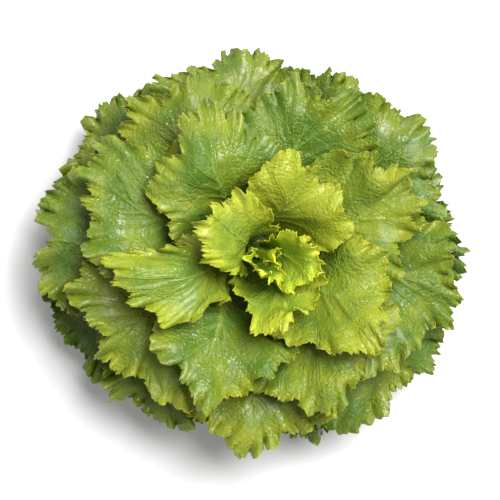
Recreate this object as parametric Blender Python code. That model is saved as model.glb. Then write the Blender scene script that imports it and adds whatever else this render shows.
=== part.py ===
"""A head of loose-leaf lettuce standing on its cut butt: one stem and the leaves round it.

The leaves follow the golden angle outwards from the heart. Each lies in a layer of its own, a
surface turned about the stem, and its waves stay inside the gap that its neighbours leave it,
so no two leaves cross. Sizes are in metres, and angles in the tables are in degrees.
"""

import math

import bmesh
import bpy
import numpy as np

# The head as a whole: the leaves are counted outwards from the heart, from 0
LEAF_COUNT = 28
LAST = LEAF_COUNT - 1
GOLDEN_ANGLE = 137.508
HEART_AZIMUTH = 85.0
HEAD_SEED = 11

# The stem: radius and height up its side, from the cut butt to the growing tip
STEM_SIDE = (
    (0.0170, 0.0000),
    (0.0186, 0.0015),
    (0.0212, 0.0090),
    (0.0192, 0.0220),
    (0.0172, 0.0360),
    (0.0125, 0.0480),
    (0.0060, 0.0570),
    (0.0020, 0.0620),
)
STEM_SIDES = 20

# How leaves stand, at some of them by their order from the heart, and at all others in between
ORDERS = (0, 2, 3, 5, 7, 12, 19, 27)
BASE_RADIUS = (0.0046, 0.0098, 0.0124, 0.0162, 0.0184, 0.0204, 0.0218, 0.0230)
BASE_HEIGHT = (0.0610, 0.0575, 0.0555, 0.0505, 0.0450, 0.0340, 0.0200, 0.0065)
RISE_ANGLE = (90.0, 87.0, 86.0, 81.0, 75.0, 64.0, 47.0, 26.0)
TIP_RADIUS = (0.0045, 0.0270, 0.0480, 0.0670, 0.0900, 0.1150, 0.1340, 0.1460)
TIP_HEIGHT = (0.1380, 0.1460, 0.1510, 0.1420, 0.1330, 0.1110, 0.0780, 0.0380)
TIP_ANGLE = (86.0, 52.0, 20.0, 2.0, -2.0, -8.0, -18.0, -28.0)
HALF_WIDTH = (0.0200, 0.0250, 0.0300, 0.0440, 0.0540, 0.0670, 0.0780, 0.0840)
LOBE_SHARE = (1.10, 1.25, 1.40, 1.55, 1.50, 1.45, 1.10, 1.00)
RIB_THICKNESS = (0.0012, 0.0015, 0.0017, 0.0020, 0.0024, 0.0032, 0.0038, 0.0040)
RISE_REACH = 0.42
TIP_REACH = 0.36
WIDEST_TURN = 1.65
LEAST_RADIUS = 0.012

# Leaves that differ from that, by order: degrees round the stem, their length and breadth as
# shares of the rule's, and how far the tip leans in
TAKES = {
    0: (20.0, 1.00, 1.00, -0.003),
    1: (8.0, 1.06, 1.00, 0.000),
    2: (15.0, 1.00, 1.15, 0.000),
    3: (8.0, 1.12, 0.92, 0.003),
    4: (12.0, 0.84, 0.95, 0.000),
    5: (22.0, 1.00, 1.05, 0.000),
    6: (0.0, 1.20, 0.54, 0.003),
    7: (5.0, 0.97, 0.86, 0.000),
    8: (16.0, 1.10, 0.90, 0.004),
    9: (-6.0, 0.97, 0.86, 0.003),
    10: (0.0, 0.98, 0.85, 0.000),
    11: (0.0, 1.12, 0.80, 0.002),
    12: (4.0, 0.90, 1.00, 0.000),
    14: (0.0, 1.06, 1.00, -0.003),
    15: (0.0, 1.06, 1.00, 0.000),
    17: (4.0, 0.97, 1.00, 0.000),
    18: (-6.0, 1.05, 1.00, 0.003),
    19: (0.0, 1.06, 1.00, 0.000),
    20: (8.0, 1.06, 1.00, -0.003),
    21: (4.0, 0.98, 1.00, 0.000),
    22: (0.0, 0.95, 1.00, 0.004),
    23: (2.0, 1.00, 1.00, 0.000),
    24: (-4.0, 0.97, 1.00, 0.000),
    25: (12.0, 0.87, 1.00, 0.002),
    26: (0.0, 0.94, 0.92, -0.002),
    27: (0.0, 0.97, 1.00, 0.000),
}
AS_THE_RULE = (0.0, 1.0, 1.0, 0.0)

# A slow bend of the whole head away from round: each part's size and turns per metre along the
# axes and its phase, the distances from the stem between which it grows, and the share of a gap
# that it leaves
BEND = (
    ((0.0040, 0.0000, 0.0000), (0.00, 4.60, 5.20), 0.7),
    ((0.0000, 0.0040, 0.0000), (5.10, 0.00, 4.40), 2.1),
    ((0.0000, 0.0000, 0.0045), (5.90, 3.10, 0.00), 1.3),
    ((0.0000, 0.0000, 0.0030), (-3.70, 6.30, 2.00), 4.0),
    ((0.0000, 0.0000, 0.0030), (8.30, 6.10, 3.00), 5.2),
    ((0.0022, 0.0022, 0.0000), (6.10, -8.70, 3.00), 0.4),
)
BEND_START = 0.030
BEND_FULL = 0.095
BEND_LEAVES = 0.88

# How far the heart leans over, and the heights between which the head comes to lean so
LEAN = (0.0170, -0.0070, 0.0)
LEAN_START = 0.060
LEAN_FULL = 0.150

# A flattened leaf's outline: half its width and its length, as shares, from the base to the tip
OUTLINE = (
    (0.18, 0.00),
    (0.20, 0.10),
    (0.44, 0.24),
    (0.82, 0.42),
    (1.00, 0.63),
    (0.92, 0.82),
    (0.60, 0.95),
    (0.28, 0.995),
    (0.00, 1.00),
)
OUTLINE_SAMPLES = 24
LENGTH_SAMPLES = 40

# The side veins leave the midrib along this share of the leaf's length
MIDRIB_SHARE = 0.80

# The blade, its midrib as far as this share of the way to the margin, the share by which the
# midrib thins towards the tip, the foot where the leaf meets the stem, and the space kept free
BLADE_THICKNESS = 0.0008
RIB_SHARE = 0.16
RIB_TAPER = 0.85
FOOT_SHARE = 0.15
FOOT_THICKNESS = 0.5
CLEARANCE = 0.0008

# Waves across the blade, and lobes in its outline: height, length along the margin, and the
# power with which they grow towards it. Their phase wanders along the margin and towards the
# midrib, by an angle and over a number of their own lengths
WAVES = ((0.0085, 0.088, 1.7), (0.0075, 0.042, 3.0))
LOBES = ((0.0048, 0.058, 2.0), (0.0022, 0.021, 3.0))
WANDER = (0.9, 2.7)
SLANT = (1.8, 3.3)
WAVE_START = 0.35
LOBE_START = 0.25
LEAST_SPOKE = 0.010

# Neighbours: how many leaves on each side can meet a leaf, the layers that are free where none
# does and the least anywhere, and how far a neighbour counts past its own outline
NEIGHBOURS = 8
FREE_LAYERS = 6.0
LEAST_LAYERS = 0.3
OPEN_COVER = 0.15
TIP_MARGIN = 0.06
SIDE_MARGIN = (0.006, 0.018)
SLIDES = (-0.14, -0.105, -0.07, -0.035, 0.0, 0.035, 0.07, 0.105, 0.14)
NORMAL_STEP = 0.002

# A layer shifts across a leaf, so that both leaves that overlap its sides are equally far
SHEAR = -1 / math.radians(360 - GOLDEN_ANGLE)

# Mesh resolution: the space between points along the margin, and the rows from midrib to
# margin, which are closer on the heart's tightly curled leaves
MARGIN_SPACING = 0.0122
ROWS = (0.0, 0.15, 0.45, 0.74, 1.0)
HEART_ROWS = (0.0, 0.14, 0.31, 0.48, 0.65, 0.83, 1.0)
HEART_LEAVES = 5

# Colours of the stem, of the outermost leaf and of the heart
STEM_COLOUR = (0.80, 0.84, 0.62)
OUTER_COLOUR = (0.22, 0.40, 0.05)
HEART_COLOUR = (0.50, 0.54, 0.07)
STEM_ROUGHNESS = 0.50
LEAF_ROUGHNESS = 0.42
SHARP_ANGLE = 60.0
WELD = 1e-6


def at_order(values, order):
    """A value of the leaf with this order from the heart, or of a layer between two leaves."""
    return np.interp(order, ORDERS, values)


def smooth(value):
    """A ramp from 0 to 1 with level ends."""
    held = np.clip(value, 0, 1)
    return held * held * (3 - 2 * held)


def unit(vectors):
    """The vectors at length one."""
    return vectors / np.maximum(np.linalg.norm(vectors, axis=-1, keepdims=True), 1e-12)


def direction(angle):
    """The unit vector at an angle in degrees above level, in radius and height."""
    return np.stack([np.cos(np.radians(angle)), np.sin(np.radians(angle))], -1)


def profile(order, share):
    """Radius and height of a layer's surface at a share of its length, by a cubic curve."""
    base = np.stack([at_order(BASE_RADIUS, order), at_order(BASE_HEIGHT, order)], -1)
    tip = np.stack([at_order(TIP_RADIUS, order), at_order(TIP_HEIGHT, order)], -1)
    chord = np.linalg.norm(tip - base, axis=-1)[..., None]
    near = base + RISE_REACH * chord * direction(at_order(RISE_ANGLE, order))
    far = tip - TIP_REACH * chord * direction(at_order(TIP_ANGLE, order))
    s = np.asarray(share)[..., None]
    return (
        (1 - s) ** 3 * base
        + 3 * s * (1 - s) ** 2 * near
        + 3 * s**2 * (1 - s) * far
        + s**3 * tip
    )


def profile_normal(order, share):
    """The normal of a layer, in radius and height, pointing inwards and up."""
    along = unit(profile(order, share + NORMAL_STEP) - profile(order, share - NORMAL_STEP))
    return np.stack([-along[..., 1], along[..., 0]], -1)


def path_lengths(points):
    """The way along a path to each of its points."""
    return np.concatenate([[0], np.cumsum(np.linalg.norm(np.diff(points, axis=0), axis=1))])


def outline_points(count):
    """Half the outline as count + 1 points evenly spaced along it, on a smooth curve."""
    before = [(OUTLINE[0][0], -OUTLINE[1][1])]
    after = [(-OUTLINE[-2][0], OUTLINE[-2][1])]
    points = np.array(before + list(OUTLINE) + after)
    t = np.linspace(0, 1, OUTLINE_SAMPLES, endpoint=False)[:, None]
    runs = []
    for a, b, c, d in zip(points, points[1:], points[2:], points[3:]):
        bend_two = 2 * a - 5 * b + 4 * c - d
        bend_three = 3 * b - a - 3 * c + d
        runs.append(0.5 * (2 * b + (c - a) * t + bend_two * t**2 + bend_three * t**3))
    path = np.vstack(runs + [points[-2][None]])
    along = path_lengths(path)
    even = np.linspace(0, along[-1], count + 1)
    return np.stack([np.interp(even, along, path[:, k]) for k in (0, 1)], -1)


def width_at(share):
    """Half the outline's width, as a share, at a share of the leaf's length."""
    points = np.array(OUTLINE)
    return np.interp(share, points[:, 1], points[:, 0])


class Leaf:
    """One leaf: its place in the spiral, its size and its own waves."""

    def __init__(self, order):
        self.order = order
        nudge, self.reach, breadth, self.lean = TAKES.get(order, AS_THE_RULE)
        self.azimuth = math.radians(HEART_AZIMUTH + GOLDEN_ANGLE * order + nudge)
        self.half_width = float(at_order(HALF_WIDTH, order)) * breadth
        self.lobe_share = float(at_order(LOBE_SHARE, order))
        self.rib_thickness = float(at_order(RIB_THICKNESS, order))
        share = np.linspace(0, self.reach, LENGTH_SAMPLES)
        self.length = float(path_lengths(profile(np.full(share.shape, order), share))[-1])
        draw = np.random.RandomState(HEAD_SEED + order)
        self.wave_phases = draw.uniform(0, 2 * math.pi, 4)
        self.lobe_phases = draw.uniform(0, 2 * math.pi, 4)


LEAVES = [Leaf(order) for order in range(LEAF_COUNT)]


def layer_order(leaf, turn):
    """The layer that a leaf lies in at an angle from its midrib."""
    return np.clip(leaf.order + SHEAR * turn, 0, LAST)


def layer_spacing(order, share):
    """The distance between two layers that are one leaf apart."""
    low = np.clip(order - 0.5, 0, LAST)
    high = np.clip(order + 0.5, 0, LAST)
    here = profile(low, share)
    nearest = np.full(share.shape, 1.0)
    spacing = np.zeros(share.shape)
    for slide in SLIDES:
        between = profile(high, share + slide) - here
        away = np.linalg.norm(between, axis=-1)
        across = np.abs((between * profile_normal(high, share + slide)).sum(-1))
        spacing = np.where(away < nearest, across, spacing)
        nearest = np.minimum(away, nearest)
    return spacing / (high - low)


def turn_limit(turn):
    """An angle round the stem, kept under the widest that a leaf may wrap."""
    return turn / (1 + (np.abs(turn) / WIDEST_TURN) ** 4) ** 0.25


def room(leaf, turn, share, spacing, side):
    """Half the gap to the next leaf on one side: side is 1 outwards and -1 inwards."""
    layers = np.full(turn.shape, FREE_LAYERS)
    radius = np.maximum(profile(np.full(turn.shape, leaf.order), share)[..., 0], LEAST_RADIUS)
    for other in LEAVES:
        apart = (other.order - leaf.order) * side
        if apart <= 0 or apart > NEIGHBOURS:
            continue
        swing = (other.azimuth - leaf.azimuth + math.pi) % (2 * math.pi) - math.pi
        off = (turn - swing + math.pi) % (2 * math.pi) - math.pi
        own_share = share / other.reach
        width = np.maximum(width_at(own_share), width_at(own_share - TIP_MARGIN))
        beyond = (np.abs(off) - turn_limit(other.half_width * width / radius)) * radius
        cover = smooth((SIDE_MARGIN[1] - beyond) / (SIDE_MARGIN[1] - SIDE_MARGIN[0]))
        gap = np.maximum(apart + side * SHEAR * (off - turn), LEAST_LAYERS)
        layers = np.minimum(layers, gap / np.maximum(cover, OPEN_COVER))
    return layers * spacing / 2


def ripple(waves, along, t, phases):
    """A sum of waves along the margin, which fade towards the midrib and bend on their way."""
    total = np.zeros((t.shape[0], along.shape[0]))
    for (height, length, power), phase in zip(waves, phases):
        turns = 2 * math.pi * along / length
        wander = WANDER[0] * np.sin(turns / WANDER[1] + 1.7 * phase)
        slant = SLANT[0] * (1 - t) * np.sin(turns / SLANT[1] + 2.3 * phase)
        total += height * t**power * np.sin(turns + phase + wander + slant)
    return total


def leaf_grid(leaf, columns, rows):
    """Shares of width and length by row and column, and the way along the margin."""
    half = outline_points(columns // 2)
    margin = np.vstack([half * (-1, 1), half[-2::-1]])
    margin[columns // 2, 0] = 0
    forward = 1 - np.abs(np.linspace(-1, 1, columns + 1))
    middle = np.stack([np.zeros(columns + 1), MIDRIB_SHARE * forward], -1)
    t = np.array(rows)[:, None]
    size = np.array([leaf.half_width, leaf.length])
    along = path_lengths(margin * size)
    spoke = np.maximum(np.linalg.norm((margin - middle) * size, axis=-1), LEAST_SPOKE)
    fade = np.clip(margin[:, 1] / LOBE_START, 0, 1)
    cut = ripple(LOBES, along, t, leaf.lobe_phases) * leaf.lobe_share * fade / spoke
    return middle + (margin - middle) * (t * (1 + cut))[..., None], along


def blade_thickness(t, share, rib_thickness):
    """Thin blade, with a midrib that thickens towards the base."""
    rib = np.clip(1 - t / RIB_SHARE, 0, 1) * (1 - RIB_TAPER * np.clip(share, 0, 1))
    foot = np.clip(1 - share / FOOT_SHARE, 0, 1) * (1 - t) * FOOT_THICKNESS
    return BLADE_THICKNESS + (rib_thickness - BLADE_THICKNESS) * np.maximum(rib, foot)


def soft_limit(value, low, high):
    """Value held between -low and high, bending smoothly as it nears either."""
    bound = np.maximum(np.where(value > 0, high, low), 1e-6)
    return bound * np.tanh(value / bound)


def bend(points):
    """The points moved by the slow bend of the whole head."""
    away = np.hypot(points[..., 0], points[..., 1])
    grow = smooth((away - BEND_START) / (BEND_FULL - BEND_START))
    moved = points.copy()
    for size, turns, phase in BEND:
        swing = np.sin(2 * math.pi * (points @ np.array(turns)) + phase) * grow
        moved += swing[..., None] * np.array(size)
    rise = smooth((points[..., 2] - LEAN_START) / (LEAN_FULL - LEAN_START))
    return moved + rise[..., None] * np.array(LEAN)


def leaf_surface(leaf, columns, rows):
    """Points of the leaf's middle surface and its thickness, by row and column."""
    t = np.array(rows)[:, None]
    flat, along = leaf_grid(leaf, columns, rows)
    share = np.maximum(flat[..., 1], 0) * leaf.reach
    radius = profile(np.full(share.shape, leaf.order), share)[..., 0]
    turn = turn_limit(flat[..., 0] * leaf.half_width / np.maximum(radius, LEAST_RADIUS))
    order = layer_order(leaf, turn)

    thickness = blade_thickness(t, share, leaf.rib_thickness)
    spacing = layer_spacing(order, share) * BEND_LEAVES
    inner = room(leaf, turn, share, spacing, -1) - CLEARANCE - BLADE_THICKNESS / 2
    outer = room(leaf, turn, share, spacing, 1) - CLEARANCE - thickness
    rise = np.clip(share / WAVE_START, 0, 1) ** 1.5
    lift = (ripple(WAVES, along, t, leaf.wave_phases) + leaf.lean * share**2) * rise
    lift = soft_limit(lift, outer, inner)

    point = profile(order, share) + profile_normal(order, share) * lift[..., None]
    angle = leaf.azimuth + turn
    level = point[..., 0]
    middle = np.stack([level * np.cos(angle), level * np.sin(angle), point[..., 1]], -1)
    return bend(middle), thickness


def surface_normals(middle):
    """Normals of the middle surface, alike on both sides of the midrib."""
    normal = unit(np.cross(np.gradient(middle, axis=1), np.gradient(middle, axis=0)))
    normal[0] = unit(normal[1] + normal[1][::-1])
    return normal


def closed_leaf(middle, thickness):
    """The leaf's points and faces as one closed body: an upper skin, a lower skin and a rim."""
    rows, columns = middle.shape[:2]
    normal = surface_normals(middle)
    upper = middle + normal * BLADE_THICKNESS / 2
    lower = middle - normal * (thickness - BLADE_THICKNESS / 2)[..., None]
    index = np.arange(rows * columns).reshape(rows, columns)
    index[0] = np.minimum(index[0], index[0][::-1])
    faces = []
    for r in range(rows - 1):
        for c in range(columns - 1):
            a, b = index[r, c], index[r, c + 1]
            d, e = index[r + 1, c + 1], index[r + 1, c]
            if c < columns // 2:
                faces += [(a, b, d), (a, d, e)]
            else:
                faces += [(a, b, e), (b, d, e)]
    count = rows * columns
    lower_faces = [(c + count, b + count, a + count) for a, b, c in faces]
    rim = list(index[::-1, 0]) + list(index[1:, -1]) + list(index[-1, -2:0:-1])
    walls = []
    for a, b in zip(rim, rim[1:] + rim[:1]):
        walls += [(b, a, a + count), (b, a + count, b + count)]
    points = np.vstack([upper.reshape(-1, 3), lower.reshape(-1, 3)])
    return points, faces + lower_faces + walls


def make_material(name, colour, roughness):
    """A plain material of one colour."""
    material = bpy.data.materials.new(name)
    material.use_nodes = True
    shader = material.node_tree.nodes["Principled BSDF"]
    shader.inputs["Base Color"].default_value = (*colour, 1)
    shader.inputs["Roughness"].default_value = roughness
    return material


def add_node(name, mesh, colour, roughness):
    """A named object with its own material, shaded smooth."""
    mesh.shade_smooth()
    mesh.set_sharp_from_angle(angle=math.radians(SHARP_ANGLE))
    mesh.materials.append(make_material(name, colour, roughness))
    bpy.context.scene.collection.objects.link(bpy.data.objects.new(name, mesh))


def build_stem():
    """The stem, spun from its side."""
    work = bmesh.new()
    side = [(0.0, STEM_SIDE[0][1])] + list(STEM_SIDE) + [(0.0, STEM_SIDE[-1][1])]
    points = [work.verts.new((radius, 0, height)) for radius, height in side]
    edges = [work.edges.new(pair) for pair in zip(points, points[1:])]
    bmesh.ops.spin(
        work,
        geom=points + edges,
        cent=(0, 0, 0),
        axis=(0, 0, 1),
        angle=2 * math.pi,
        steps=STEM_SIDES,
        use_merge=True,
    )
    bmesh.ops.remove_doubles(work, verts=work.verts, dist=WELD)
    bmesh.ops.recalc_face_normals(work, faces=work.faces)
    mesh = bpy.data.meshes.new("stem")
    work.to_mesh(mesh)
    work.free()
    add_node("stem", mesh, STEM_COLOUR, STEM_ROUGHNESS)


def leaf_edge(leaf):
    """The way along one side of the leaf's margin, from the base to the tip."""
    size = np.array([leaf.half_width, leaf.length])
    return path_lengths(outline_points(OUTLINE_SAMPLES) * size)[-1]


def build_leaf(leaf):
    """One leaf, named by its number from the outside: leaf_01 is the outermost."""
    rows = HEART_ROWS if leaf.order < HEART_LEAVES else ROWS
    columns = 2 * round(leaf_edge(leaf) / MARGIN_SPACING)
    points, faces = closed_leaf(*leaf_surface(leaf, columns, rows))
    used = sorted({int(v) for face in faces for v in face})
    place = {v: k for k, v in enumerate(used)}
    name = f"leaf_{LEAF_COUNT - leaf.order:02d}"
    mesh = bpy.data.meshes.new(name)
    mesh.from_pydata(points[used], [], [[place[int(v)] for v in face] for face in faces])
    share = leaf.order / LAST
    colour = [h + (o - h) * share for h, o in zip(HEART_COLOUR, OUTER_COLOUR)]
    add_node(name, mesh, colour, LEAF_ROUGHNESS)


def main():
    """Clears the scene, then builds the stem and the leaves."""
    for old in list(bpy.data.objects):
        bpy.data.objects.remove(old)
    build_stem()
    for leaf in LEAVES:
        build_leaf(leaf)


main()
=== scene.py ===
"""The looks of a head of loose-leaf lettuce: fine waved leaves, its cut stem and the stage.

Each leaf is a middle sheet that follows the same layers as the plain solid it stands for, with
finer ruffles, flaps and teeth, and a node tree gives it blisters, sunken veins and thickness.
"""

import math

import bpy
import numpy as np
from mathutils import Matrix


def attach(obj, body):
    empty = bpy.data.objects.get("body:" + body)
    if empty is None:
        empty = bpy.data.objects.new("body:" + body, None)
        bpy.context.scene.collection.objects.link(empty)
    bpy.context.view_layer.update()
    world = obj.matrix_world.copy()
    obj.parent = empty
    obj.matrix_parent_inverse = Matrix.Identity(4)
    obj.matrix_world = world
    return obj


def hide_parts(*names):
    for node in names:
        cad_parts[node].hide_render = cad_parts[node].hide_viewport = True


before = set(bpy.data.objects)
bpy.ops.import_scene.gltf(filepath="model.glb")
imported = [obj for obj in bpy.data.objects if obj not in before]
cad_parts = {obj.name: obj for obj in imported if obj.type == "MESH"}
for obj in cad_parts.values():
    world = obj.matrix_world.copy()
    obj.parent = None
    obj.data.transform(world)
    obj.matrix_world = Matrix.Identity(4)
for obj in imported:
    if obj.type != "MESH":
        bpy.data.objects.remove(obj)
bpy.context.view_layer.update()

bl_info = {
    "name": "Head of Lettuce",
    "version": (1, 0, 0),
    "blender": (4, 5, 0),
    "location": "View3D > Sidebar > Lettuce",
    "description": "Dresses a head of loose-leaf lettuce with fine leaves, stem and stage",
    "category": "Object",
}

BODY = "root"

# The head as a whole: the leaves are counted outwards from the heart, from 0
LEAF_COUNT = 28
LAST = LEAF_COUNT - 1
GOLDEN_ANGLE = 137.508
HEART_AZIMUTH = 85.0
HEAD_SEED = 11

# The stem: radius and height up its side, from the cut butt to the growing tip
STEM_SIDE = (
    (0.0170, 0.0000),
    (0.0186, 0.0015),
    (0.0212, 0.0090),
    (0.0192, 0.0220),
    (0.0172, 0.0360),
    (0.0125, 0.0480),
    (0.0060, 0.0570),
    (0.0020, 0.0620),
)

# How leaves stand, at some of them by their order from the heart, and at all others in between
ORDERS = (0, 2, 3, 5, 7, 12, 19, 27)
BASE_RADIUS = (0.0046, 0.0098, 0.0124, 0.0162, 0.0184, 0.0204, 0.0218, 0.0230)
BASE_HEIGHT = (0.0610, 0.0575, 0.0555, 0.0505, 0.0450, 0.0340, 0.0200, 0.0065)
RISE_ANGLE = (90.0, 87.0, 86.0, 81.0, 75.0, 64.0, 47.0, 26.0)
TIP_RADIUS = (0.0045, 0.0270, 0.0480, 0.0670, 0.0900, 0.1150, 0.1340, 0.1460)
TIP_HEIGHT = (0.1380, 0.1460, 0.1510, 0.1420, 0.1330, 0.1110, 0.0780, 0.0380)
TIP_ANGLE = (86.0, 52.0, 20.0, 2.0, -2.0, -8.0, -18.0, -28.0)
HALF_WIDTH = (0.0200, 0.0250, 0.0300, 0.0440, 0.0540, 0.0670, 0.0780, 0.0840)
LOBE_SHARE = (1.10, 1.25, 1.40, 1.55, 1.50, 1.45, 1.10, 1.00)
RIB_THICKNESS = (0.0012, 0.0015, 0.0017, 0.0020, 0.0024, 0.0032, 0.0038, 0.0040)

# How far each end steers a leaf's curve, as a share of its chord, the widest that a leaf wraps
# round the stem, in radians, and the least radius that its width is laid round
RISE_REACH = 0.42
TIP_REACH = 0.36
WIDEST_TURN = 1.65
LEAST_RADIUS = 0.012

# Leaves that differ from that, by order: degrees round the stem, their length and breadth as
# shares of the rule's, and how far the tip leans in
TAKES = {
    0: (20.0, 1.00, 1.00, -0.003),
    1: (8.0, 1.06, 1.00, 0.000),
    2: (15.0, 1.00, 1.15, 0.000),
    3: (8.0, 1.12, 0.92, 0.003),
    4: (12.0, 0.84, 0.95, 0.000),
    5: (22.0, 1.00, 1.05, 0.000),
    6: (0.0, 1.20, 0.54, 0.003),
    7: (5.0, 0.97, 0.86, 0.000),
    8: (16.0, 1.10, 0.90, 0.004),
    9: (-6.0, 0.97, 0.86, 0.003),
    10: (0.0, 0.98, 0.85, 0.000),
    11: (0.0, 1.12, 0.80, 0.002),
    12: (4.0, 0.90, 1.00, 0.000),
    14: (0.0, 1.06, 1.00, -0.003),
    15: (0.0, 1.06, 1.00, 0.000),
    17: (4.0, 0.97, 1.00, 0.000),
    18: (-6.0, 1.05, 1.00, 0.003),
    19: (0.0, 1.06, 1.00, 0.000),
    20: (8.0, 1.06, 1.00, -0.003),
    21: (4.0, 0.98, 1.00, 0.000),
    22: (0.0, 0.95, 1.00, 0.004),
    23: (2.0, 1.00, 1.00, 0.000),
    24: (-4.0, 0.97, 1.00, 0.000),
    25: (12.0, 0.87, 1.00, 0.002),
    26: (0.0, 0.94, 0.92, -0.002),
    27: (0.0, 0.97, 1.00, 0.000),
}
AS_THE_RULE = (0.0, 1.0, 1.0, 0.0)

# A slow bend of the whole head away from round: each part's size and turns per metre along the
# axes and its phase, the distances from the stem between which it grows, and the share of a gap
# that it leaves
BEND = (
    ((0.0040, 0.0000, 0.0000), (0.00, 4.60, 5.20), 0.7),
    ((0.0000, 0.0040, 0.0000), (5.10, 0.00, 4.40), 2.1),
    ((0.0000, 0.0000, 0.0045), (5.90, 3.10, 0.00), 1.3),
    ((0.0000, 0.0000, 0.0030), (-3.70, 6.30, 2.00), 4.0),
    ((0.0000, 0.0000, 0.0030), (8.30, 6.10, 3.00), 5.2),
    ((0.0022, 0.0022, 0.0000), (6.10, -8.70, 3.00), 0.4),
)
BEND_START = 0.030
BEND_FULL = 0.095
BEND_LEAVES = 0.88

# How far the heart leans over, and the heights between which the head comes to lean so
LEAN = (0.0170, -0.0070, 0.0)
LEAN_START = 0.060
LEAN_FULL = 0.150

# A flattened leaf's outline: half its width and its length, as shares, from the base to the tip
OUTLINE = (
    (0.18, 0.00),
    (0.20, 0.10),
    (0.44, 0.24),
    (0.82, 0.42),
    (1.00, 0.63),
    (0.92, 0.82),
    (0.60, 0.95),
    (0.28, 0.995),
    (0.00, 1.00),
)

# Points of a smooth curve from one of its given points to the next, and along a leaf's length
OUTLINE_SAMPLES = 24
LENGTH_SAMPLES = 40

# The share of the leaf's length that its midrib runs, before it spreads into veins
MIDRIB_SHARE = 0.80

# Thickness of the blade at its middle and at its rim, and the power with which it thins, the
# midrib's share of the way to the margin and how much it thins towards the tip, the foot's
# share of the length and of the midrib's thickness, and the gap kept to the next leaf
BLADE_THICKNESS = 0.0008
RIM_THICKNESS = 0.0004
RIM_POWER = 3
RIB_SHARE = 0.16
RIB_TAPER = 0.85
FOOT_SHARE = 0.15
FOOT_THICKNESS = 0.5
CLEARANCE = 0.0008

# Waves that lift the blade, and lobes in its outline, as the plain solid has them: height,
# length along the margin, and the power with which they grow towards it
WAVES = ((0.0085, 0.088, 1.7), (0.0075, 0.042, 3.0))
LOBES = ((0.0048, 0.058, 2.0), (0.0022, 0.021, 3.0))

# Every wave wanders along the margin, and slants towards the midrib: how far in radians, over
# how many waves, and how far out of step it starts
WANDER = (0.9, 2.7, 1.7)
SLANT = (1.8, 3.3, 2.3)

# The shares of the length by which waves and lobes reach their full size, the power with which
# waves do, and the shortest way from midrib to margin that a lobe's size is measured against
WAVE_START = 0.35
WAVE_RISE = 1.5
LOBE_START = 0.25
LEAST_SPOKE = 0.010

# The fine leaf's ruffles, in the same way as its waves, how much they swell and sink, how often
# and how far out of step, and how far they slide along the margin as a share of their height
RUFFLES = ((0.0056, 0.0118, 7.0), (0.0022, 0.0052, 12.0))
SWELL = 0.80
SWELL_TURN = 2.3
SWELL_PHASE = 3.1
SLIDE_SHARE = 0.20

# Its flaps, in the same way, the lengths over which they swell and sink, their least share and
# what swelling adds, how far they stand out of the outline, and how wide the notches are
FLAPS = ((0.0058, 0.0085, 7.0), (0.0026, 0.0039, 12.0))
FLAP_SWELL = (0.0290, 0.0730)
FLAP_SIZES = (0.15, 1.20)
FLAP_RISE = 0.35
NOTCH_WIDTH = 0.34

# Its teeth, in the same way, the lengths over which they swell and sink, their least share and
# what swelling adds, how they crowd and spread, and how blunt they are
TEETH = (0.0010, 0.0021, 20.0)
TEETH_SWELL = (0.0173, 0.0471)
TEETH_SIZES = (0.4, 0.9)
TEETH_CROWD = (0.9, 5.0)
TEETH_POWER = 0.8

# How large flaps and ruffles are, at the leaves that ORDERS names
FRILLS = (0.45, 0.50, 0.55, 0.60, 0.65, 0.75, 0.85, 0.90)
CURLS = (0.45, 0.45, 0.50, 0.50, 0.55, 0.75, 1.05, 1.20)

# The share of a gap that is kept for the fine forms, at the midrib and, with the power that
# the rim thins with, how much more at the margin
FINE_SHARE = 0.16
FINE_MARGIN_SHARE = 0.60

# Neighbours: how many leaves on each side can meet a leaf, the layers that are free where none
# does and the least anywhere, the cover that counts as open, and how far a neighbour counts
# past its own tip and sides
NEIGHBOURS = 8
FREE_LAYERS = 6.0
LEAST_LAYERS = 0.3
OPEN_COVER = 0.15
TIP_MARGIN = 0.06
SIDE_MARGIN = (0.006, 0.018)

# Where along the next layer the gap to it is looked for, the step that gives a layer's normal,
# the least room, and how many layers a leaf crosses for each radian that it turns
SLIDES = (-0.14, -0.105, -0.07, -0.035, 0.0, 0.035, 0.07, 0.105, 0.14)
NORMAL_STEP = 0.002
LEAST_ROOM = 1e-6
SHEAR = -1 / math.radians(360 - GOLDEN_ANGLE)

# Mesh: the space between points along the margin, and three zones from the midrib to the
# margin, each with its widest extent in metres and as a share, its row spacing and the stride
# of its columns
MARGIN_SPACING = 0.0006
ZONES = (
    (None, None, 0.0027, 4),
    (0.0120, 0.42, 0.0017, 2),
    (0.0026, 0.16, 0.0007, 1),
)

# The least height of a leaf above the floor, and how near two points are to be made one
FLOOR_GAP = 0.0006
MERGE_DISTANCE = 1e-6

# The stem's mesh, the swelling that each leaf's foot grows from, and the hollow of the cut face
STEM_COLUMNS = 96
STEM_ROWS = 90
BUTT_RINGS = 14
FOOT_SWELL = 0.0005
FOOT_HEIGHT = 0.0022
BUTT_HOLLOW = 0.0004

# Side veins: their distance along the margin, how they crowd and spread along it, how far and
# over what length they sway, their widths at the midrib and the margin, as colour and as
# ridges, and the share of the width where their edge begins
VEIN_SPACING = 0.0165
VEIN_CROWD = (0.35, 0.043)
VEIN_SWAY = 1.1
SWAY_LENGTH = 0.030
VEIN_WIDTHS = (0.0012, 0.0004)
RIDGE_WIDTHS = (0.0030, 0.0014)
VEIN_EDGE = 0.35

# Relief of the blade: what the noise of puckers and the cells of blisters are scaled and moved
# by, and the shares of the length and of the way to the margin between which both grow
PUCKER_SPAN = (4.0, -2.0)
BLISTER_SPAN = (-2.2, 1.1)
RELIEF_START = (0.05, 0.30)
RELIEF_CLEAR = (0.02, 0.18)

# The small veins: width of the net and of the mesh within it, and how they are bent, in turns
# per metre and in metres
NET_WIDTH = 0.00050
MESH_WIDTH = 0.00034
NET_BEND = (260.0, 0.0022)

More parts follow.
